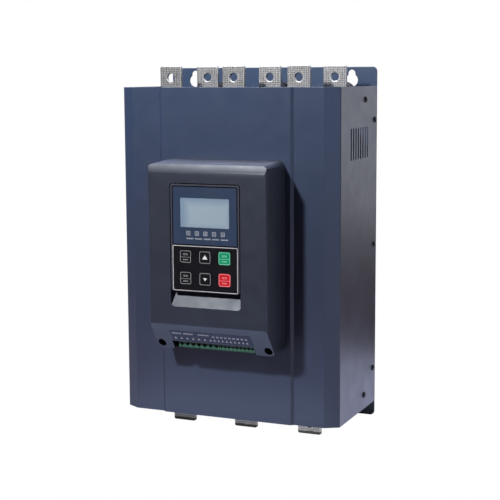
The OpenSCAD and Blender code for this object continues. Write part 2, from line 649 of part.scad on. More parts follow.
module keypad_plug() difference() {
  bx([kx - 9.8, kf + 11.8, plug_z - 4.8], [kx + 9.8, y_cb - 7.2, plug_z + 4.8]);
  bx([kx - 8, y_cb - 13, plug_z - 2], [kx + 8, y_cb - 6, plug_z + 2]);
}

module key(i, c) color(c) translate([keys_at[i][0], kf, keys_at[i][1]]) {
  front_plate(3.2, 3.5) rr(-key_s / 2, -key_s / 2, key_s / 2, key_s / 2, 2.5);
  front_plate(4.2, 1) rr(-key_s / 2 - 1.3, -key_s / 2 - 1.3, key_s / 2 + 1.3, key_s / 2 + 1.3, 2.5);
  ycyl(0, 6, 0, 2.5, 1.8);
}
module key_enter() key(0, [0.08, 0.08, 0.09]);
module key_up() key(1, [0.08, 0.08, 0.09]);
module key_run() key(2, [0.08, 0.59, 0.35]);
module key_set() key(3, [0.08, 0.08, 0.09]);
module key_down() key(4, [0.08, 0.08, 0.09]);
module key_stop() key(5, [0.88, 0.10, 0.18]);

// ---- assembly --------------------------------------------------------------

back_plate();
front_cover();
cover_screws();
upper_bracket();
lower_bracket();
heat_sink();
heat_sink_screws();
thyristor_module_a();
thyristor_module_b();
thyristor_module_c();
module_screws();
input_bar_a();
input_bar_b();
input_bar_c();
bypass_bar_a();
bypass_bar_b();
bypass_bar_c();
output_bar_a();
output_bar_b();
output_bar_c();
terminal_bolts();
short_insulators();
tall_insulators();
insulator_screws();
current_transformer_a();
current_transformer_b();
current_transformer_c();
fan_frame_a();
fan_frame_b();
fan_frame_c();
fan_rotor_a();
fan_rotor_b();
fan_rotor_c();
fan_screws();
thermal_switch();
trigger_board();
board_standoffs();
pulse_transformers();
board_screws();
control_shell();
shell_screws();
control_board();
relay_terminals();
signal_terminals();
terminal_screws();
terminal_label();
keypad_frame();
keypad_back();
display_overlay();
display_window();
key_panel();
lcd_module();
keypad_board();
key_switches();
key_enter();
key_up();
key_run();
key_set();
key_down();
key_stop();
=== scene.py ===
import math
import random

import bmesh
import bpy
from mathutils import Matrix, Vector
from mathutils.geometry import delaunay_2d_cdt


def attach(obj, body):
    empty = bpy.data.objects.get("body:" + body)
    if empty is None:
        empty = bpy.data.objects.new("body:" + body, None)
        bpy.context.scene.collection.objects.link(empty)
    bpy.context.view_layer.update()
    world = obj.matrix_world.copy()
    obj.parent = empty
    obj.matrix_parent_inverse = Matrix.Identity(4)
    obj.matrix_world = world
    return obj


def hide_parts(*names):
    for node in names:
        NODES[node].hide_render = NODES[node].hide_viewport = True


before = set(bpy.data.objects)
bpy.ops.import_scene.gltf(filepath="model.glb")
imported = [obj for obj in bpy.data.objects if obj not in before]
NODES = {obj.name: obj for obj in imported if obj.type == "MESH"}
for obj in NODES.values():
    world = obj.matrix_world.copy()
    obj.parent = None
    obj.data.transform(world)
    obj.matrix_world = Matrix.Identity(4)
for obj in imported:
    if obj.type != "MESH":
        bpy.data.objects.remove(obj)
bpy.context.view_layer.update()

scene = bpy.context.scene
random.seed(7)

# ---------------------------------------------------------------- dimensions, in millimetres as the CAD has them
HW, HH = 150.0, 213.0
YF = -159.2                      # raised centre of the cover
BF = -216.2                      # front of the control box and of the keypad
CREASE, FOOT_Y, FOOT_Z = -82.0, -189.2, -118.5
SLOPE = math.atan2(FOOT_Y - BF, CREASE - FOOT_Z)
KX = -1.9
KEY_X = (KX - 26.4, KX, KX + 26.4)
KEY_Z = (5.3, -21.7)
SIDE_SCREWS = ((-50, 196), (-48, -194), (-10.5, 169), (-10.5, 3.5), (-10.5, -165))
WIN_X, WIN_Z, WIN_W, WIN_H = KX, 60.2, 33.0, 18.2      # display window: centre and half sizes
PHASES = (-91.0, 0.0, 91.0)


# ---------------------------------------------------------------- node materials
class Nodes:
    """A small builder for a node material with one Principled shader."""

    def __init__(self, name, base, rough, metal=0.0, **sockets):
        self.mat = bpy.data.materials.new(name)
        self.mat.use_nodes = True
        self.mat.diffuse_color = (*base, 1.0)
        self.tree = self.mat.node_tree
        self.tree.nodes.clear()
        self.out = self.tree.nodes.new("ShaderNodeOutputMaterial")
        self.bsdf = self.tree.nodes.new("ShaderNodeBsdfPrincipled")
        self.tree.links.new(self.bsdf.outputs[0], self.out.inputs[0])
        self.bsdf.inputs["Base Color"].default_value = (*base, 1.0)
        self.bsdf.inputs["Roughness"].default_value = rough
        self.bsdf.inputs["Metallic"].default_value = metal
        for key, value in sockets.items():
            self.bsdf.inputs[key.replace("_", " ")].default_value = value
        self.coord = self.tree.nodes.new("ShaderNodeTexCoord").outputs["Object"]
        self.last_normal = None

    def link(self, a, b):
        self.tree.links.new(a, b)

    def noise(self, scale, detail=3.0, rough=0.55, stretch=None):
        n = self.tree.nodes.new("ShaderNodeTexNoise")
        n.inputs["Scale"].default_value = scale
        n.inputs["Detail"].default_value = detail
        n.inputs["Roughness"].default_value = rough
        vec = self.coord
        if stretch:
            m = self.tree.nodes.new("ShaderNodeMapping")
            m.inputs["Scale"].default_value = stretch
            self.link(vec, m.inputs["Vector"])
            vec = m.outputs[0]
        self.link(vec, n.inputs["Vector"])
        return n.outputs["Fac"]

    def voronoi(self, scale, feature="F1"):
        n = self.tree.nodes.new("ShaderNodeTexVoronoi")
        n.feature = feature
        n.inputs["Scale"].default_value = scale
        self.link(self.coord, n.inputs["Vector"])
        return n.outputs["Distance"]

    def math(self, op, a, b=None):
        n = self.tree.nodes.new("ShaderNodeMath")
        n.operation = op
        for k, x in enumerate((a, b)):
            if x is None:
                continue
            if isinstance(x, float):
                n.inputs[k].default_value = x
            else:
                self.link(x, n.inputs[k])
        return n.outputs[0]

    def to_edge(self, cx, cz, hx, hz):
        """Millimetres from the edge of a rectangle in X and Z, growing inwards."""
        sep = self.tree.nodes.new("ShaderNodeSeparateXYZ")
        self.link(self.coord, sep.inputs[0])
        dx = self.math("ABSOLUTE", self.math("SUBTRACT", sep.outputs["X"], cx * 0.001))
        dz = self.math("ABSOLUTE", self.math("SUBTRACT", sep.outputs["Z"], cz * 0.001))
        return self.math("MULTIPLY", self.math("MINIMUM", self.math("SUBTRACT", hx * 0.001, dx), self.math("SUBTRACT", hz * 0.001, dz)), 1000.0)

    def ramp(self, fac, lo, hi, a, b):
        n = self.tree.nodes.new("ShaderNodeMapRange")
        n.inputs["From Min"].default_value = lo
        n.inputs["From Max"].default_value = hi
        n.inputs["To Min"].default_value = a
        n.inputs["To Max"].default_value = b
        self.link(fac, n.inputs["Value"])
        return n.outputs["Result"]

    def colours(self, fac, lo, hi, a, b):
        n = self.tree.nodes.new("ShaderNodeMix")
        n.data_type = "RGBA"
        n.inputs["A"].default_value = (*a, 1.0)
        n.inputs["B"].default_value = (*b, 1.0)
        n.inputs[6].default_value = (*a, 1.0)
        n.inputs[7].default_value = (*b, 1.0)
        self.link(self.ramp(fac, lo, hi, 0.0, 1.0), n.inputs[0])
        self.link(n.outputs[2], self.bsdf.inputs["Base Color"])
        return n.outputs[2]

    def roughness(self, fac, lo, hi, a, b):
        self.link(self.ramp(fac, lo, hi, a, b), self.bsdf.inputs["Roughness"])

    def bump(self, fac, strength, distance):
        n = self.tree.nodes.new("ShaderNodeBump")
        n.inputs["Strength"].default_value = strength
        n.inputs["Distance"].default_value = distance
        self.link(fac, n.inputs["Height"])
        if self.last_normal is not None:
            self.link(self.last_normal, n.inputs["Normal"])
        self.last_normal = n.outputs[0]
        self.link(n.outputs[0], self.bsdf.inputs["Normal"])


def tint(c, k):
    return tuple(min(1.0, max(0.0, x * k)) for x in c)


def moulded(name, base, rough, grain=1400.0, depth=0.00006, strength=0.25, vary=0.06, **sockets):
    """Moulded plastic: a fine spark-eroded grain, slightly uneven gloss and colour."""
    m = Nodes(name, base, rough, **sockets)
    m.colours(m.noise(26.0, 4.0), 0.3, 0.7, tint(base, 1 - vary), tint(base, 1 + vary))
    m.roughness(m.noise(55.0, 4.0), 0.3, 0.7, rough - 0.04, rough + 0.05)
    m.bump(m.noise(grain, 2.0), strength, depth)
    return m.mat


def powder(name, base, rough, upper=None, **sockets):
    """Powder coat: soft orange peel with a fine speckle over the sheet; given upper, a painted sheen draws its colour
    lighter and bluer towards the top.
    """
    m = Nodes(name, base, rough, **sockets)
    cloud = m.noise(9.0, 5.0, 0.6)
    if upper:
        sep = m.tree.nodes.new("ShaderNodeSeparateXYZ")
        m.link(m.coord, sep.inputs[0])
        # painted sheen: the coat is drawn lighter and bluer towards the top, where the lamps light it more
        painted_top_sheen_mask = m.ramp(sep.outputs["Z"], 0.02, 0.21, 0.0, 1.0)
        m.colours(m.math("ADD", painted_top_sheen_mask, m.ramp(cloud, 0.3, 0.7, -0.12, 0.12)), -0.12, 1.12, tint(base, 0.98), upper)
    else:
        m.colours(cloud, 0.3, 0.7, tint(base, 0.955), tint(base, 1.045))
    m.roughness(m.noise(38.0, 4.0), 0.3, 0.7, rough - 0.03, rough + 0.05)
    m.bump(m.noise(260.0, 2.0, 0.4), 0.10, 0.00025)
    m.bump(m.noise(1500.0, 2.0), 0.10, 0.00006)
    return m.mat


def metal(name, base, rough, brush=None, spots=0.08, depth=0.00008, strength=0.2, **sockets):
    """Bare or plated metal: drawn lines along one direction, and small stains."""
    m = Nodes(name, base, rough, 1.0, **sockets)
    m.colours(m.noise(70.0, 6.0, 0.65), 0.3, 0.75, tint(base, 1 - spots), tint(base, 1 + spots * 0.6))
    lines = m.noise(1.0, 4.0, 0.6, stretch=brush or (900.0, 900.0, 40.0))
    m.roughness(lines, 0.25, 0.75, max(0.05, rough - 0.08), rough + 0.1)
    m.bump(lines, strength, depth)
    return m.mat


def ink(name, base, rough=0.5):
    """Screen print: slightly uneven cover with a soft tooth."""
    m = Nodes(name, base, rough)
    m.colours(m.noise(420.0, 3.0), 0.3, 0.7, tint(base, 0.92), tint(base, 1.04))
    m.roughness(m.noise(300.0, 3.0), 0.3, 0.7, rough - 0.05, rough + 0.08)
    m.bump(m.noise(2200.0, 1.0), 0.15, 0.00003)
    return m.mat


NAVY = (0.037, 0.051, 0.095)
M = {
    # the cover's coat carries a painted top sheen, lighter and bluer towards its top edge
    "navy": powder("navy_powder_coat", NAVY, 0.36, (0.037, 0.060, 0.121)),
    # the back plate has its own lighter, bluer copy of the cover's navy coat: painted light for how the lamps fall on
    # it
    "plate": powder("navy_powder_coat_painted_lit_plate", (0.034, 0.065, 0.134), 0.36),
    "black_screw": metal("black_oxide", (0.040, 0.040, 0.043), 0.40, spots=0.2),
    "zinc": metal("zinc_plate", (0.44, 0.45, 0.465), 0.40, spots=0.1),
    # zinc drawn dark: painted shade for the terminal screws that sit deep in their holes
    "painted_shade_zinc": metal("painted_shade_zinc", (0.10, 0.10, 0.105), 0.5, spots=0.2),
    "aluminium": metal("extruded_aluminium", (0.46, 0.465, 0.475), 0.44, brush=(700.0, 700.0, 18.0)),
    "tin": metal("tinned_copper", (0.47, 0.47, 0.475), 0.42, brush=(500.0, 500.0, 60.0), spots=0.14),
    "tin_pits": metal("tinned_copper_pits", (0.13, 0.13, 0.132), 0.55, spots=0.2),
    "yellow_zinc": metal("yellow_zinc", (0.60, 0.50, 0.25), 0.34, spots=0.2),
    "brass": metal("brass", (0.72, 0.54, 0.24), 0.3, spots=0.1),
    "module": moulded("module_epoxy", (0.030, 0.030, 0.033), 0.5),
    "resin": moulded("insulator_resin", (0.014, 0.012, 0.012), 0.40, grain=700.0),
    "blue_resin": moulded("transformer_resin", (0.012, 0.016, 0.038), 0.35, grain=500.0, depth=0.0001),
    "fan": moulded("fan_plastic", (0.018, 0.018, 0.020), 0.45),
    "pcb": moulded("solder_mask", (0.008, 0.085, 0.034), 0.3, grain=900.0, vary=0.2),
    "charcoal": moulded("charcoal_plastic", (0.0235, 0.0285, 0.049), 0.46, grain=1500.0, Specular_IOR_Level=0.56, Specular_Tint=(0.87, 0.94, 1.0, 1.0)),
    "green_block": moulded("terminal_plastic", (0.043, 0.138, 0.095), 0.42, vary=0.1),
    "black_plastic": moulded("keypad_plastic", (0.010, 0.0105, 0.013), 0.36, grain=1800.0),
    # frame plastic lighter than the keypad's black: painted highlight standing in for the light line along the frame's
    # rim
    "keypad_rim": moulded("keypad_rim_plastic", (0.062, 0.066, 0.094), 0.34, grain=1800.0),
    "key_black": moulded("key_film_black", (0.0065, 0.007, 0.010), 0.36, grain=2200.0, Specular_IOR_Level=0.3),
    "key_green": moulded("key_film_green", (0.006, 0.300, 0.150), 0.36, grain=2200.0, Specular_IOR_Level=0.25),
    "key_red": moulded("key_film_red", (0.63, 0.013, 0.026), 0.36, grain=2200.0, Specular_IOR_Level=0.25),
    "overlay": moulded("overlay_film", (0.029, 0.050, 0.100), 0.36, grain=2400.0, depth=0.00003),
    "label": moulded("label_film", (0.081, 0.126, 0.226), 0.5, grain=2000.0, depth=0.00003, Specular_IOR_Level=0.08),
    "white_ink": ink("white_ink", (0.84, 0.85, 0.87)),
    "label_ink": ink("label_ink", (0.74, 0.89, 0.95)),
    # a black film that stands in for the shade in the gap round the display film: painted shade
    "painted_gap_shade": moulded("painted_gap_shade", (0.004, 0.004, 0.006), 0.6, grain=2200.0, Specular_IOR_Level=0.1),
    "silver_ink": ink("silver_ink", (0.555, 0.565, 0.60)),
    "grey_ink": ink("grey_ink", (0.47, 0.51, 0.57)),
    "dim_ink": ink("dim_ink", (0.34, 0.345, 0.37)),
    "green_ink": ink("green_ink", (0.28, 0.74, 0.56)),
    "red_ink": ink("red_ink", (0.90, 0.40, 0.43)),
}


def display_material():
    """Display glass: paler in the middle than along its edges, the darker edges being painted shade from the recess."""
    m = Nodes("display_glass", (0.378, 0.484, 0.580), 0.30, Specular_IOR_Level=0.3)
    # painted shade: darker towards the window's edges, where the recess would shade the glass
    m.colours(m.to_edge(WIN_X, WIN_Z, WIN_W, WIN_H), 1.0, 11.0, (0.250, 0.350, 0.455), (0.378, 0.484, 0.580))
    m.roughness(m.noise(40.0, 3.0), 0.3, 0.7, 0.26, 0.34)
    m.bump(m.noise(300.0, 2.0), 0.05, 0.00001)
    return m.mat


def window_material():
    """Hazy film over the display with a painted reflection: a little darker towards its upper left, paler towards its
    lower right.
    """
    pale = (0.350, 0.452, 0.545)
    m = Nodes("hazy_window", pale, 0.24, Specular_IOR_Level=0.3, Alpha=0.9)
    # painted reflection: the paler field is shifted to the lower right, leaving the upper left darker
    m.colours(m.to_edge(WIN_X + 4.5, WIN_Z - 3.0, 27.5, 14.0), -6.5, 4.5, (0.232, 0.335, 0.448), pale)
    m.roughness(m.noise(60.0, 3.0), 0.3, 0.7, 0.20, 0.28)
    m.bump(m.noise(90.0, 2.0), 0.03, 0.00005)
    return m.mat


def bar_end_material():
    """Tinned copper with painted shade on its smooth lower end, standing in for the shadowed floor it would mirror."""
    base = (0.47, 0.47, 0.475)
    m = Nodes("tinned_copper_painted_shade_end", base, 0.42, 1.0)
    sep = m.tree.nodes.new("ShaderNodeSeparateXYZ")
    m.link(m.coord, sep.inputs[0])
    # painted shade: the lowest few millimetres of the bar are drawn dark, with a ragged edge
    painted_shade_jitter = m.ramp(m.noise(160.0, 4.0), 0.3, 0.7, -0.0006, 0.0006)
    m.colours(m.math("ADD", sep.outputs["Z"], painted_shade_jitter), -0.2374, -0.2354, (0.075, 0.073, 0.072), base)
    lines = m.noise(1.0, 4.0, 0.6, stretch=(500.0, 500.0, 60.0))
    m.roughness(lines, 0.25, 0.75, 0.34, 0.52)
    m.bump(lines, 0.2, 0.00008)
    return m.mat


M["tin_end"] = bar_end_material()
M["lcd"] = display_material()
M["window"] = window_material()


# ---------------------------------------------------------------- mesh helpers
def circle(cx, cz, r, n=32):
    return [(cx + r * math.cos(2 * math.pi * i / n), cz + r * math.sin(2 * math.pi * i / n)) for i in range(n)]


def rrect(x0, z0, x1, z1, r, n=5):
    out = []
    for cx, cz, a in ((x1 - r, z0 + r, -90), (x1 - r, z1 - r, 0), (x0 + r, z1 - r, 90), (x0 + r, z0 + r, 180)):
        for i in range(n + 1):
            t = math.radians(a + 90 * i / n)
            out.append((cx + r * math.cos(t), cz + r * math.sin(t)))
    return out


def slot(cx, cz, w, h, n=8):
    """Upright slot with round ends."""
    r = w / 2
    out = [(cx + r * math.cos(math.pi * i / n), cz + h / 2 - r + r * math.sin(math.pi * i / n)) for i in range(n + 1)]
    out += [(cx - r * math.cos(math.pi * i / n), cz - h / 2 + r - r * math.sin(math.pi * i / n)) for i in range(n + 1)]
    return out


def rev(loop):
    return list(reversed(loop))


def inset(loop, k):
    """Loop moved to its left by k: into the material for an outer loop running anticlockwise and for a hole running clockwise."""
    if abs(k) < 1e-9:
        return list(loop)
    out, n = [], len(loop)
    for i in range(n):
        p0, p1, p2 = Vector(loop[i - 1]), Vector(loop[i]), Vector(loop[(i + 1) % n])
        d1, d2 = (p1 - p0).normalized(), (p2 - p1).normalized()
        n1, n2 = Vector((-d1.y, d1.x)), Vector((-d2.y, d2.x))
        q = p1 + (n1 + n2) * (k / max(0.2, 1 + n1.dot(n2)))
        out.append((q.x, q.y))
    return out


def inside(p, loop):
    x, y = p
    hit, n = False, len(loop)
    j = n - 1
    for i in range(n):
        xi, yi = loop[i]
        xj, yj = loop[j]
        if (yi > y) != (yj > y) and x < (xj - xi) * (y - yi) / (yj - yi) + xi:
            hit = not hit
        j = i
    return hit


def triangles(loops, lines=(), squares=()):
    """Triangles of the region inside loops[0] and outside the rest. lines are pairs of (loop, index) to join, squares are small pits left open."""
    pts, edges, base = [], [], []
    for lp in loops:
        b = len(pts)
        base.append(b)
        pts += [Vector(p) for p in lp]
        edges += [(b + i, b + (i + 1) % len(lp)) for i in range(len(lp))]
    n_loop = len(pts)
    for sq in squares:
        b = len(pts)
        pts += [Vector(p) for p in sq]
        edges += [(b + i, b + (i + 1) % 4) for i in range(4)]
    for (la, ia), (lb, ib) in lines:
        edges.append((base[la] + ia, base[lb] + ib))
    v, _, f, ov, _, _ = delaunay_2d_cdt(pts, edges, [], 0, 1e-6)
    where = {}
    for j, src in enumerate(ov):
        for s in src:
            where[s] = j
    pit_of = {}
    for k in range(len(squares)):
        for i in range(4):
            pit_of[where[n_loop + 4 * k + i]] = k
    boxes = [(min(p[0] for p in lp), min(p[1] for p in lp), max(p[0] for p in lp), max(p[1] for p in lp)) for lp in loops]
    keep = []
    for t in f:
        pits = {pit_of.get(i) for i in t}
        if len(pits) == 1 and None not in pits:
            continue
        c = sum((v[i] for i in t), Vector((0, 0))) / 3
        if not inside(c, loops[0]):
            continue
        if any(b[0] <= c.x <= b[2] and b[1] <= c.y <= b[3] and inside(c, lp) for lp, b in zip(loops[1:], boxes[1:])):
            continue
        keep.append(tuple(t))
    return v, keep, [[where[base[k] + i] for i in range(len(lp))] for k, lp in enumerate(loops)], \
        [[where[n_loop + 4 * k + i] for i in range(4)] for k in range(len(squares))]


def solid(bm, loops, place, prof, lines=(), pits=(), pit_depth=0.6):
    """A sheet with thickness. place(u, v, depth) gives millimetres; prof is (inset, depth) from the front face to the rear one."""
    rings = [[None] * len(prof) for _ in loops]
    for end in (0, len(prof) - 1):
        k, d = prof[end]
        lps = [inset(lp, k) for lp in loops]
        v, f, idx, sq = triangles(lps, lines, pits)
        bv = [bm.verts.new(Vector(place(p.x, p.y, d)) * 0.001) for p in v]
        for t in f:
            try:
                bm.faces.new([bv[i] for i in (t if end == 0 else reversed(t))])
            except ValueError:
                pass
        for q, ring in enumerate(idx):
            rings[q][end] = [bv[i] for i in ring]
        s = 1 if end == 0 else -1
        for square, corner in zip(pits, sq):
            c = Vector((sum(p[0] for p in square) / 4, sum(p[1] for p in square) / 4))
            low = [bm.verts.new(Vector(place(c.x + (p[0] - c.x) * 0.35, c.y + (p[1] - c.y) * 0.35, d + s * pit_depth)) * 0.001) for p in square]
            top = [bv[i] for i in corner]
            for i in range(4):
                bm.faces.new((top[i], top[(i + 1) % 4], low[(i + 1) % 4], low[i])).material_index = 1
            bm.faces.new(low).material_index = 1
    for q, lp in enumerate(loops):
        for e in range(1, len(prof) - 1):
            rings[q][e] = [bm.verts.new(Vector(place(p[0], p[1], prof[e][1])) * 0.001) for p in inset(lp, prof[e][0])]
        for e in range(len(prof) - 1):
            a, b = rings[q][e], rings[q][e + 1]
            for i in range(len(lp)):
                j = (i + 1) % len(lp)
                try:
                    bm.faces.new((a[i], b[i], b[j], a[j]))
                except ValueError:
                    pass


def edge(t, c):
    """Profile of a sheet t thick with its edges eased by c."""
    return ((c, 0.0), (c * 0.3, c * 0.3), (0.0, c), (0.0, t - c), (c * 0.3, t - c * 0.3), (c, t))


def front(y):
    """Sheets that face the front, u to the right and v up, their front face at y."""
    return lambda u, v, d: (u, y + d, v)


def lathe(bm, prof, place, n=32):
    """A round body: prof is (radius, height) along the axis, place(x, y, h) gives millimetres."""
    rings = []
    for r, h in prof:
        if r < 1e-6:
            rings.append([bm.verts.new(Vector(place(0, 0, h)) * 0.001)])
        else:
            rings.append([bm.verts.new(Vector(place(r * math.cos(2 * math.pi * i / n), r * math.sin(2 * math.pi * i / n), h)) * 0.001) for i in range(n)])
    for a, b in zip(rings, rings[1:]):
        for i in range(n):
            j = (i + 1) % n
            if len(a) == 1 and len(b) == 1:
                continue
            if len(a) == 1:
                bm.faces.new((a[0], b[j], b[i]))
            elif len(b) == 1:
                bm.faces.new((a[i], a[j], b[0]))
            else:
                bm.faces.new((a[i], a[j], b[j], b[i]))
    for ring in (rings[0], rings[-1]):
        if len(ring) > 1:
            bm.faces.new(ring)


def piece(name, bm, mat, body, replaces=(), sharp=32.0, second=None):
    """Turns a bmesh into a piece that rides on a body."""
    bmesh.ops.recalc_face_normals(bm, faces=bm.faces)
    me = bpy.data.meshes.new(name)
    bm.to_mesh(me)
    bm.free()
    for p in me.polygons:
        p.use_smooth = True
    me.set_sharp_from_angle(angle=math.radians(sharp))
    ob = bpy.data.objects.new(name, me)
    scene.collection.objects.link(ob)
    me.materials.append(mat)
    if second:
        me.materials.append(second)
    wn = ob.modifiers.new("normals", "WEIGHTED_NORMAL")
    wn.keep_sharp = True
    wn.weight = 100
    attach(ob, body)
    if replaces:
        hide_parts(*replaces)
    return ob


# ---------------------------------------------------------------- folded cover
def rounded_line(points, radius):
    """Open line with its corners rounded: [(u, x, y, nx, ny)], the normals pointing out of the case."""
    out = []
    n = len(points)

    def normal(a, b):
        d = (Vector(b) - Vector(a)).normalized()
        return Vector((d.y, -d.x))

    def add(p, nv):
        u = 0.0 if not out else out[-1][0] + math.hypot(p.x - out[-1][1], p.y - out[-1][2])
        if out and u - out[-1][0] < 1e-6:
            return
        out.append((u, p.x, p.y, nv.x, nv.y))

    add(Vector(points[0]), normal(points[0], points[1]))
    for i in range(1, n - 1):
        a, b, c = Vector(points[i - 1]), Vector(points[i]), Vector(points[i + 1])
        n1, n2 = normal(a, b), normal(b, c)
        d1, d2 = (b - a).normalized(), (c - b).normalized()
        turn = math.atan2(d1.x * d2.y - d1.y * d2.x, d1.dot(d2))
        r = radius[0] if turn > 0 else radius[1]
        t = r * math.tan(abs(turn) / 2)
        start = b - d1 * t
        steps = max(4, int(abs(math.degrees(turn)) / 6))
        centre = start - n1 * r * (1 if turn > 0 else -1)
        for k in range(steps + 1):
            ang = turn * k / steps
            nv = Vector((n1.x * math.cos(ang) - n1.y * math.sin(ang), n1.x * math.sin(ang) + n1.y * math.cos(ang)))
            add(centre + nv * r * (1 if turn > 0 else -1), nv)
    add(Vector(points[-1]), normal(points[-2], points[-1]))
    return out


COVER_LINE = [(-150, -2.2), (-150, -145.6), (-132.2, -155.8), (-92.3, -155.8), (-88.7, -159.2),
              (88.7, -159.2), (92.3, -155.8), (132.2, -155.8), (150, -145.6), (150, -2.2)]


def build_cover():
    line = rounded_line(COVER_LINE, (2.4, 1.2))
    us = [p[0] for p in line]
    total = us[-1]

    def place(u, v, d):
        u = min(max(u, 0.0), total)
        lo, hi = 0, len(us) - 1
        while hi - lo > 1:
            mid = (lo + hi) // 2
            if us[mid] <= u:
                lo = mid
            else:
                hi = mid
        f = (u - us[lo]) / (us[hi] - us[lo])
        a, b = line[lo], line[hi]
        nv = Vector((a[3] + (b[3] - a[3]) * f, a[4] + (b[4] - a[4]) * f)).normalized()
        return (a[1] + (b[1] - a[1]) * f - nv.x * d, a[2] + (b[2] - a[2]) * f - nv.y * d, v)

    inner = us[1:-1]
    loop = [(0.0, -HH)] + [(u, -HH) for u in inner] + [(total, -HH), (total, HH)] + [(u, HH) for u in reversed(inner)] + [(0.0, HH)]
    k = len(inner)
    lines = [((0, 1 + i), (0, 2 * k + 2 - i)) for i in range(k)]
    holes = []
    for right in (False, True):
        def at(y):
            return total - (-2.2 - y) if right else -2.2 - y
        for i in range(8):
            holes.append(rev(slot(at(-106.4 + 9.4 * i), HH - 72.3, 4.0, 41.0)))
        for y, z in SIDE_SCREWS:
            holes.append(rev(circle(at(y), z, 2.7, 16)))
    mid = total / 2
    for s in (-1, 1):
        holes.append(rev(circle(mid + s * 73.5, -111, 2.3, 16)))
    holes.append(rev(rrect(mid - 45, -20, mid + 45, 60, 1.0, 3)))
    bm = bmesh.new()
    solid(bm, [loop] + holes, place, edge(1.5, 0.35), lines)
    return piece("cover_sheet", bm, M["navy"], "case", ("front_cover",), 26.0)


# ---------------------------------------------------------------- back plate
def keyhole(x):
    """Clockwise outline: wide end below, narrow end above."""
    r1, z1, r2, z2 = 8.5, 220.5, 5.0, 229.3
    a = math.asin(r2 / r1)
    out = []
    lo, hi = math.pi / 2 + a, math.pi / 2 - a + 2 * math.pi
    for i in range(29):
        t = lo + (hi - lo) * i / 28
        out.append((x + r1 * math.cos(t), z1 + r1 * math.sin(t)))
    for i in range(15):
        t = math.pi * i / 14
        out.append((x + r2 * math.cos(t), z2 + r2 * math.sin(t)))
    return rev(out)


def build_back_plate():
    bm = bmesh.new()
    loops = [rrect(-HW, -233, HW, 238, 6.0, 8)]
    for s in (-1, 1):
        loops += [keyhole(s * 115.0), rev(circle(s * 115.0, -223, 5.0, 32))]
        loops += [rev(circle(s * 134, z, 5.05, 28)) for z in (-120, 120)]
    solid(bm, loops, front(-2.0), edge(2.0, 0.3))
    for s in (-1, 1):
        x = s * 147.3
        holes = [rev(circle(y, z, 2.6, 16)) for y, z in SIDE_SCREWS[2:]]
        solid(bm, [[(-20, -205), (-2.02, -205), (-2.02, 205), (-20, 205)]] + holes,
              (lambda u, v, d: (x + 1 - d, u, v)), edge(2.0, 0.3))
    return piece("back_sheet", bm, M["plate"], "case", ("back_plate",), 30.0)


# ---------------------------------------------------------------- busbars with a knurled contact patch at the free end
def knurl(x0, x1, z0, z1, holes, pitch=2.4, half=0.62):
    out = []
    nx, nz = int((x1 - x0) / pitch), int((z1 - z0) / pitch)
    ox, oz = (x0 + x1) / 2 - (nx - 1) * pitch / 2, (z0 + z1) / 2 - (nz - 1) * pitch / 2
    for i in range(nx):
        for j in range(nz):
            cx, cz = ox + i * pitch, oz + j * pitch
            if any(math.hypot(cx - hx, cz - hz) < hr + 1.5 for hx, hz, hr in holes):
                continue
            out.append([(cx - half, cz - half), (cx + half, cz - half), (cx + half, cz + half), (cx - half, cz + half)])
    return out


def build_bars():
    made = []
    for p, c in zip(PHASES, "abc"):
        x = p - 17
        holes = [(x, 33, 4.5), (x, 195, 3.3), (x, 225, 5.5)]
        bm = bmesh.new()
        solid(bm, [rrect(x - 15.5, 18, x + 15.5, 240, 2.5)] + [rev(circle(*h, 28)) for h in holes], front(-92),
              edge(5.0, 0.45), pits=knurl(x - 15, x + 15, 203, 239.2, holes))
        made.append(piece("input_busbar_" + c, bm, M["tin"], "case", ("input_bar_" + c,), second=M["tin_pits"]))

        xb = p + 17
        r = xb + 15.5
        bm = bmesh.new()
        low = [(x - 14, -47), (r, -47), (r, 177), (r - 20, 177), (r - 20, 12), (x - 14, 12)]
        solid(bm, [low] + [rev(circle(x, z, 4.5, 28)) for z in (0, -33)], front(-92), edge(5.0, 0.4))
        solid(bm, [[(r - 20, 172), (r, 172), (r, 177), (r - 20, 177)]], (lambda u, v, d: (u, -87.02 + d, v)), ((0, 0), (0, 37.0)))
        holes = [(xb, 203.5, 3.3), (xb, 225, 5.5)]
        solid(bm, [rrect(xb - 15.5, 172, r, 240, 2.5)] + [rev(circle(*h, 28)) for h in holes], front(-50),
              edge(5.0, 0.45), pits=knurl(xb - 15, xb + 15, 211, 239.2, holes))
        made.append(piece("bypass_busbar_" + c, bm, M["tin"], "case", ("bypass_bar_" + c,), second=M["tin_pits"]))

        bm = bmesh.new()
        line = rrect(p - 16, -240.5, p + 16, 12, 2.5)
        holes = [(p, -188, 3.3), (p, -226.5, 5.5)]
        left, foot = p - 16, x - 14
        outline = [q for q in line if not (q[0] < p - 13 and q[1] > 0)]
        cut = next(i for i, q in enumerate(outline) if q[0] < p - 13 and q[1] < -200)
        arm = [(foot + 2.5, 12), (foot + 0.7, 11.3), (foot, 9.5), (foot, -44.5), (foot + 0.7, -46.3), (foot + 2.5, -47), (left, -47)]
        outline = outline[:cut] + arm + outline[cut:]
        inner = [rev(circle(x, z, 4.5, 28)) for z in (0, -33)]
        solid(bm, [outline] + inner + [rev(circle(*h, 28)) for h in holes], front(-97), edge(5.0, 0.45),
              pits=knurl(p - 15.5, p + 15.5, -236.4, -203, holes))
        made.append(piece("output_busbar_" + c, bm, M["tin_end"], "case", ("output_bar_" + c,), second=M["tin_pits"]))
    return made


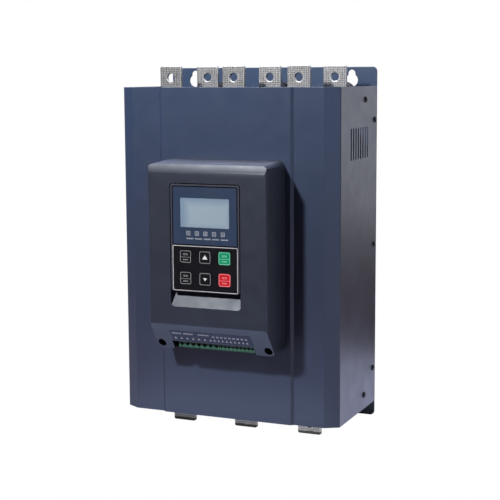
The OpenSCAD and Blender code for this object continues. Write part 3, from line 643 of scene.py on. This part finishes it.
# ---------------------------------------------------------------- screws in the sides of the cover
def screw_mesh(d, n=28):
    """Round-headed cross-recess screw, its head's seat at 0 and its head along +h, as a mesh in millimetres times 0.001."""
    r, h = d * 0.96, d * 0.56
    bm = bmesh.new()
    prof = [(0, -d * 1.6), (d * 0.42, -d * 1.6), (d * 0.5, -d * 1.5), (d * 0.5, 0), (r * 0.985, 0), (r, h * 0.12), (r * 0.985, h * 0.35)]
    for i in range(1, 7):
        t = i / 6 * math.pi / 2
        prof.append((r * 0.97 * math.cos(t * 0.93), h * 0.38 + h * 0.62 * math.sin(t)))
    prof.append((0, h * 1.005))
    lathe(bm, prof, lambda x, y, k: (x, y, k), n)
    bmesh.ops.recalc_face_normals(bm, faces=bm.faces)
    me = bpy.data.meshes.new("screw_blank")
    bm.to_mesh(me)
    bm.free()
    blank = bpy.data.objects.new("screw_blank", me)
    cut_mesh = bpy.data.meshes.new("screw_cut")
    bm = bmesh.new()
    w, l = d * 0.10, d * 0.46
    cross = [(l, -w), (l, w), (w, w), (w, l), (-w, l), (-w, w), (-l, w), (-l, -w), (-w, -w), (-w, -l), (w, -l), (w, -w)]
    solid(bm, [cross], lambda u, v, k: (u, v, h * 1.3 - k), ((0.0, 0.0), (0.0, h * 0.35), (w * 0.55, h * 0.95)))
    bmesh.ops.recalc_face_normals(bm, faces=bm.faces)
    bm.to_mesh(cut_mesh)
    bm.free()
    cutter = bpy.data.objects.new("screw_cut", cut_mesh)
    for o in (blank, cutter):
        scene.collection.objects.link(o)
    mod = blank.modifiers.new("recess", "BOOLEAN")
    mod.operation, mod.solver, mod.object = "DIFFERENCE", "EXACT", cutter
    bpy.context.view_layer.update()
    done = bpy.data.meshes.new_from_object(blank.evaluated_get(bpy.context.evaluated_depsgraph_get()))
    for o in (blank, cutter):
        bpy.data.objects.remove(o)
    return done


def build_screws():
    five = screw_mesh(4.2)
    bm = bmesh.new()
    for s in (-1, 1):
        for i, (y, z) in enumerate(SIDE_SCREWS):
            m = Matrix.Translation((s * 0.15, y * 0.001, z * 0.001)) @ Matrix.Rotation(s * math.pi / 2, 4, "Y") @ Matrix.Rotation(0.5 * i + 0.2, 4, "Z")
            start = len(bm.verts)
            bm.from_mesh(five)
            bm.verts.ensure_lookup_table()
            bmesh.ops.transform(bm, matrix=m, verts=bm.verts[start:])
    piece("cover_side_screws", bm, M["black_screw"], "case", ("cover_screws",), 35.0)
    four = screw_mesh(4.0)
    bm = bmesh.new()
    for s in (-1, 1):
        m = Matrix.Translation((s * 0.0735, -0.1632, -0.111)) @ Matrix.Rotation(math.pi / 2, 4, "X") @ Matrix.Rotation(0.4 + s, 4, "Z")
        start = len(bm.verts)
        bm.from_mesh(four)
        bm.verts.ensure_lookup_table()
        bmesh.ops.transform(bm, matrix=m, verts=bm.verts[start:])
    piece("control_box_screws", bm, M["black_screw"], "case", ("shell_screws",), 35.0)


# ---------------------------------------------------------------- print on the keypad and on the terminal label, and a ring of painted shade round the display film
def bars_of(bm, place, rects, t=0.06):
    for x0, z0, x1, z1 in rects:
        solid(bm, [[(x0, z0), (x1, z0), (x1, z1), (x0, z1)]], place, ((0.0, 0.0), (0.0, t)))


def ring_of(bm, place, x0, z0, x1, z1, r, w, t=0.06):
    solid(bm, [rrect(x0, z0, x1, z1, r, 6), rev(rrect(x0 + w, z0 + w, x1 - w, z1 - w, max(0.2, r - w), 6))], place, ((0.0, 0.0), (0.0, t)))


def build_print_and_gap_shade():
    film = front(BF - 0.05)
    # a row of plain marks and a line of dashes under the display
    bm = bmesh.new()
    for x in (-22.3, -10.65, 1.0, 12.65, 24.3):
        cx, cz = KX + x, 34.6
        ring_of(bm, film, cx - 2.6, cz - 2.5, cx + 2.6, cz + 2.7, 0.5, 0.6)
        bars_of(bm, film, [(cx - 1.3, cz + 0.45, cx + 1.3, cz + 1.05), (cx - 1.3, cz - 0.95, cx + 1.3, cz - 0.35)])
    for g in range(5):
        x = KX - 24.6 + 11.65 * g
        bars_of(bm, film, [(x + 1.6 * k, 27.4, x + 1.6 * k + 1.0, 28.9) for k in range(6)])
    piece("display_marks", bm, M["grey_ink"], "keypad", ())
    # dark border of the display film
    # black ring at the edge of the display film: painted shade standing in for the shadowed gap between the frame's rim
    # and the film
    bm = bmesh.new()
    ring_of(bm, film, KX - 44.5, 19.4, KX + 44.5, 93.5, 2.4, 1.5, 0.06)
    piece("display_gap_shade", bm, M["painted_gap_shade"], "keypad", ())
    # silver line round the key panel
    bm = bmesh.new()
    ring_of(bm, film, KX - 44.3, -37.8, KX + 44.3, 19.1, 1.8, 0.95, 0.1)
    piece("key_panel_border", bm, M["silver_ink"], "keypad", ())
    # legends on the keys
    face = front(BF - 0.35)
    for name, x, z, kind in (("key_enter", 0, 0, "dash"), ("key_up", 1, 0, "up"), ("key_run", 2, 0, "dash"),
                             ("key_set", 0, 1, "dash"), ("key_down", 1, 1, "down"), ("key_stop", 2, 1, "dash")):
        cx, cz = KEY_X[x], KEY_Z[z]
        bm = bmesh.new()
        mat = M["green_ink" if name == "key_run" else "red_ink" if name == "key_stop" else "dim_ink"]
        q = 7.4 if mat == M["dim_ink"] else 7.6
        ring_of(bm, face, cx - q, cz - q, cx + q, cz + q, 2.1, 0.62)
        if kind == "dash":
            bars_of(bm, face, [(cx - 6.8, cz - 0.95, cx + 6.8, cz - 0.5)])
            bars_of(bm, face, [(cx - 3.3 + 3.5 * k + 0.1 * q, z0, cx - 0.3 + 3.5 * k, z0 + 0.62) for k in range(2) for q, z0 in enumerate((cz + 1.9, cz + 3.2))])
            bars_of(bm, face, [(cx - 3.4 + 2.4 * k, cz - 4.4, cx - 1.6 + 2.4 * k, cz - 3.2) for k in range(3)])
        piece(name + "_legend", bm, mat, name, ())
        if kind != "dash":
            bm = bmesh.new()
            tri = [(cx - 3.6, cz - 2.4), (cx + 3.6, cz - 2.4), (cx, cz + 3.2)] if kind == "up" else [(cx + 2.7, cz + 1.3), (cx - 2.7, cz + 1.3), (cx, cz - 2.5)]
            solid(bm, [tri], face, ((0.0, 0.0), (0.0, 0.06)))
            piece(name + "_arrow", bm, M["white_ink"], name, ())
    # triangles and dashes on the terminal label
    cs, sn = math.cos(SLOPE), math.sin(SLOPE)

    def label(u, v, d):
        q = d - 0.36
        return (u, BF + q * cs - v * sn, CREASE + q * sn + v * cs)

    bm = bmesh.new()
    tops = [-50.4 + i * 8.13 for i in range(7)] + [3.6 + i * 5.58 for i in range(9)]
    for i, x in enumerate(tops):
        w = 1.7 if i < 7 else 1.45
        solid(bm, [[(x - w, -25.6), (x + w, -25.6), (x, -22.2)]], label, ((0.0, 0.0), (0.0, 0.06)))
    for x0, n in ((-53.4, 7), (-37.2, 7), (-17.0, 8)):
        bars_of(bm, label, [(x0 + 1.9 * k, -16.6, x0 + 1.9 * k + 1.2, -14.6) for k in range(n)])
    bars_of(bm, label, [(x - 1.5, -18.6, x - 0.3, -16.4) for x in tops[7:]] + [(x + 0.2, -18.6, x + 1.4, -16.4) for x in tops[7:]])
    piece("label_marks", bm, M["label_ink"], "case", ())


# ---------------------------------------------------------------- CAD nodes that stay: their finish, and eased edges
FINISH = {
    "upper_bracket": ("zinc", 0.25), "lower_bracket": ("zinc", 0.25), "heat_sink": ("aluminium", 0.25),
    "heat_sink_screws": ("zinc", 0.12), "module_screws": ("zinc", 0.15), "insulator_screws": ("zinc", 0.25),
    "fan_screws": ("zinc", 0.15), "board_screws": ("zinc", 0.12), "thermal_switch": ("zinc", 0.2), "terminal_screws": ("painted_shade_zinc", 0.1),
    "terminal_bolts": ("yellow_zinc", 0.3), "short_insulators": ("resin", 0.6), "tall_insulators": ("resin", 0.8),
    "pulse_transformers": ("blue_resin", 0.6), "trigger_board": ("pcb", 0.15), "control_board": ("pcb", 0.15), "keypad_board": ("pcb", 0.15),
    "board_standoffs": ("brass", 0.2), "control_shell": ("charcoal", 0.5), "relay_terminals": ("green_block", 0.25),
    "signal_terminals": ("green_block", 0.2), "terminal_label": ("label", 0.0), "keypad_frame": ("keypad_rim", 0.65),
    "keypad_back": ("black_plastic", 0.3), "display_overlay": ("overlay", 0.12), "display_window": ("window", 0.1),
    "key_panel": ("key_black", 0.12), "lcd_module": ("lcd", 0.2), "key_switches": ("black_plastic", 0.15),
    "key_enter": ("key_black", 0.35), "key_up": ("key_black", 0.35), "key_run": ("key_green", 0.35),
    "key_set": ("key_black", 0.35), "key_down": ("key_black", 0.35), "key_stop": ("key_red", 0.35),
}
for c in "abc":
    FINISH["thyristor_module_" + c] = ("module", 0.6)
    FINISH["current_transformer_" + c] = ("blue_resin", 0.8)
    FINISH["fan_frame_" + c] = ("fan", 0.4)
    FINISH["fan_rotor_" + c] = ("fan", 0.2)


def finish_nodes():
    for name, (mat, width) in FINISH.items():
        ob = NODES[name]
        ob.data.materials.clear()
        ob.data.materials.append(M[mat])
        weld = ob.modifiers.new("weld", "WELD")
        weld.merge_threshold = 0.00001
        if width > 0:
            bev = ob.modifiers.new("edges", "BEVEL")
            bev.width = width * 0.001
            bev.segments = 2
            bev.limit_method = "ANGLE"
            bev.angle_limit = math.radians(22 if name == "control_shell" else 35)
            bev.use_clamp_overlap = True
            bev.miter_outer = "MITER_ARC"
        wn = ob.modifiers.new("normals", "WEIGHTED_NORMAL")
        wn.keep_sharp = False


# ---------------------------------------------------------------- camera, light and floor
def build_camera():
    az, el, roll = math.radians(23.19), math.radians(7.92), math.radians(-0.30)
    target, dist = Vector((-0.00063, -0.07789, -0.00316)), 1.67378
    eye = target + dist * Vector((math.sin(az) * math.cos(el), -math.cos(az) * math.cos(el), math.sin(el)))
    fwd = (target - eye).normalized()
    right = fwd.cross(Vector((0, 0, 1))).normalized()
    up = right.cross(fwd)
    r2 = right * math.cos(roll) + up * math.sin(roll)
    u2 = -right * math.sin(roll) + up * math.cos(roll)
    cam = bpy.data.objects.new("camera", bpy.data.cameras.new("camera"))
    cam.data.sensor_width = 36.0
    cam.data.lens = 1255.59 / 500.0 * 36.0
    cam.data.clip_start, cam.data.clip_end = 0.05, 60.0
    m = Matrix((r2, u2, -fwd)).transposed().to_4x4()
    m.translation = eye
    cam.matrix_world = m
    scene.collection.objects.link(cam)
    scene.camera = cam


def area(name, place, look, size, power, colour=(1, 1, 1), shape="DISK", size_y=None):
    data = bpy.data.lights.new(name, "AREA")
    data.shape, data.size, data.energy, data.color = shape, size, power, colour
    if size_y:
        data.size_y = size_y
    ob = bpy.data.objects.new(name, data)
    scene.collection.objects.link(ob)
    d = Vector(look) - Vector(place)
    ob.matrix_world = Matrix.Translation(place) @ d.to_track_quat("-Z", "Y").to_matrix().to_4x4()
    return ob


def card(name, corners, colour, strength, camera=False, diffuse=True, glossy=True, white=False):
    """A studio card: a flat glowing sheet, or a plain white one that only the lamps light."""
    me = bpy.data.meshes.new(name)
    me.from_pydata([Vector(c) for c in corners], [], [tuple(range(len(corners)))])
    ob = bpy.data.objects.new(name, me)
    scene.collection.objects.link(ob)
    mat = bpy.data.materials.new(name)
    mat.use_nodes = True
    t = mat.node_tree
    t.nodes.clear()
    out = t.nodes.new("ShaderNodeOutputMaterial")
    em = t.nodes.new("ShaderNodeBsdfDiffuse" if white else "ShaderNodeEmission")
    em.inputs[0].default_value = (*colour, 1)
    if not white:
        em.inputs[1].default_value = strength
    t.links.new(em.outputs[0], out.inputs[0])
    me.materials.append(mat)
    ob.visible_camera = camera
    ob.visible_diffuse = diffuse
    ob.visible_glossy = glossy
    ob.visible_transmission = camera
    ob.visible_shadow = False
    return ob


def build_stage():
    z = -0.2425
    world = bpy.data.worlds.new("studio")
    scene.world = world
    world.use_nodes = True
    t = world.node_tree
    t.nodes.clear()
    out = t.nodes.new("ShaderNodeOutputWorld")
    seen, dim = t.nodes.new("ShaderNodeBackground"), t.nodes.new("ShaderNodeBackground")
    seen.inputs[0].default_value = (1, 1, 1, 1)
    dim.inputs[0].default_value = (1.0, 0.95, 1.0, 1)
    dim.inputs[1].default_value = 0.022
    mix, path = t.nodes.new("ShaderNodeMixShader"), t.nodes.new("ShaderNodeLightPath")
    t.links.new(path.outputs["Is Camera Ray"], mix.inputs[0])
    t.links.new(dim.outputs[0], mix.inputs[1])
    t.links.new(seen.outputs[0], mix.inputs[2])
    t.links.new(mix.outputs[0], out.inputs[0])
    card("floor", [(-9, -9, z), (9, -9, z), (9, 9, z), (-9, 9, z)], (1, 1, 1), 1.0, True, False, False)
    def flat(x0, y0, x1, y1, h):
        return [(x0, y0, z + h), (x1, y0, z + h), (x1, y1, z + h), (x0, y1, z + h)]

    card("table", flat(0.155, -0.16, 1.6, 0.38, 0.001), (1.0, 1.03, 1.42), 1.2, diffuse=False)
    card("table_far", flat(0.155, 0.38, 4.5, 2.0, 0.001), (0.10, 0.05, 0.025), 1.0, diffuse=False)
    card("table_front", flat(-1.0, -0.60, 0.40, -0.16, 0.001), (0.155, 0.072, 0.062), 0.0, white=True)
    card("table_right", flat(0.40, -0.60, 1.6, -0.16, 0.001), (0.62, 0.62, 0.64), 0.0, white=True)
    card("table_left", flat(-1.0, -0.16, 0.10, 0.42, 0.001), (0.20, 0.19, 0.20), 0.0, white=True)
    card("table_sheen", flat(-0.26, -0.52, 0.30, -0.36, 0.002), (0.82, 0.88, 1.10), 0.38, diffuse=False)
    card("table_sheen_mid", flat(-0.21, -0.36, 0.26, -0.25, 0.002), (0.78, 0.90, 1.26), 2.4, diffuse=False)
    card("table_sheen_near", flat(-0.36, -0.25, 0.24, -0.17, 0.002), (0.77, 0.89, 1.24), 1.15, diffuse=False)
    card("under_sheen_left", flat(-0.25, -0.17, -0.06, -0.06, 0.002), (1.0, 0.98, 1.0), 0.31, diffuse=False)
    card("under_sheen_mid", flat(-0.06, -0.17, 0.03, -0.06, 0.002), (1.0, 0.98, 1.0), 0.50, diffuse=False)
    card("under_sheen_right", flat(0.03, -0.17, 0.20, -0.06, 0.002), (1.0, 0.98, 1.0), 0.94, diffuse=False)
    card("top_sheen", [(-0.75, -1.05, 0.62), (0.45, -1.05, 0.62), (0.45, -0.55, 1.25), (-0.75, -0.55, 1.25)], (0.72, 0.88, 1.25), 0.5, diffuse=False)
    card("right_sheen", [(0.70, -1.55, z), (1.60, -0.60, z), (1.60, -0.60, 1.0), (0.70, -1.55, 1.0)], (0.70, 0.75, 1.0), 1.0, diffuse=False)
    card("rear_glow", [(-3, 2.0, -0.215), (-3, 2.0, 2.4), (4.5, 2.0, 2.4), (4.5, 2.0, -0.215)], (0.99, 1.0, 1.12), 1.10, diffuse=False)
    card("right_fill", [(0.9, -0.159, -0.2), (0.9, 0.10, -0.2), (0.9, 0.10, 0.5), (0.9, -0.159, 0.5)], (1.0, 0.92, 0.64), 2.6, glossy=False)
    area("key", (-0.39, -1.22, 0.93), (-0.02, -0.19, 0.0), 0.12, 24.0, (1.0, 0.985, 0.97))
    area("overhead", (-0.38, 0.02, 1.20), (-0.38, 0.02, 0.0), 1.05, 40.0, (0.91, 0.97, 1.09), "RECTANGLE", 0.36)
    scene.view_settings.view_transform = "Standard"
    scene.view_settings.look = "None"
    scene.view_settings.exposure = 0.0
    scene.view_settings.gamma = 1.0


build_cover()
build_back_plate()
build_bars()
build_screws()
build_print_and_gap_shade()
finish_nodes()
build_camera()
build_stage()
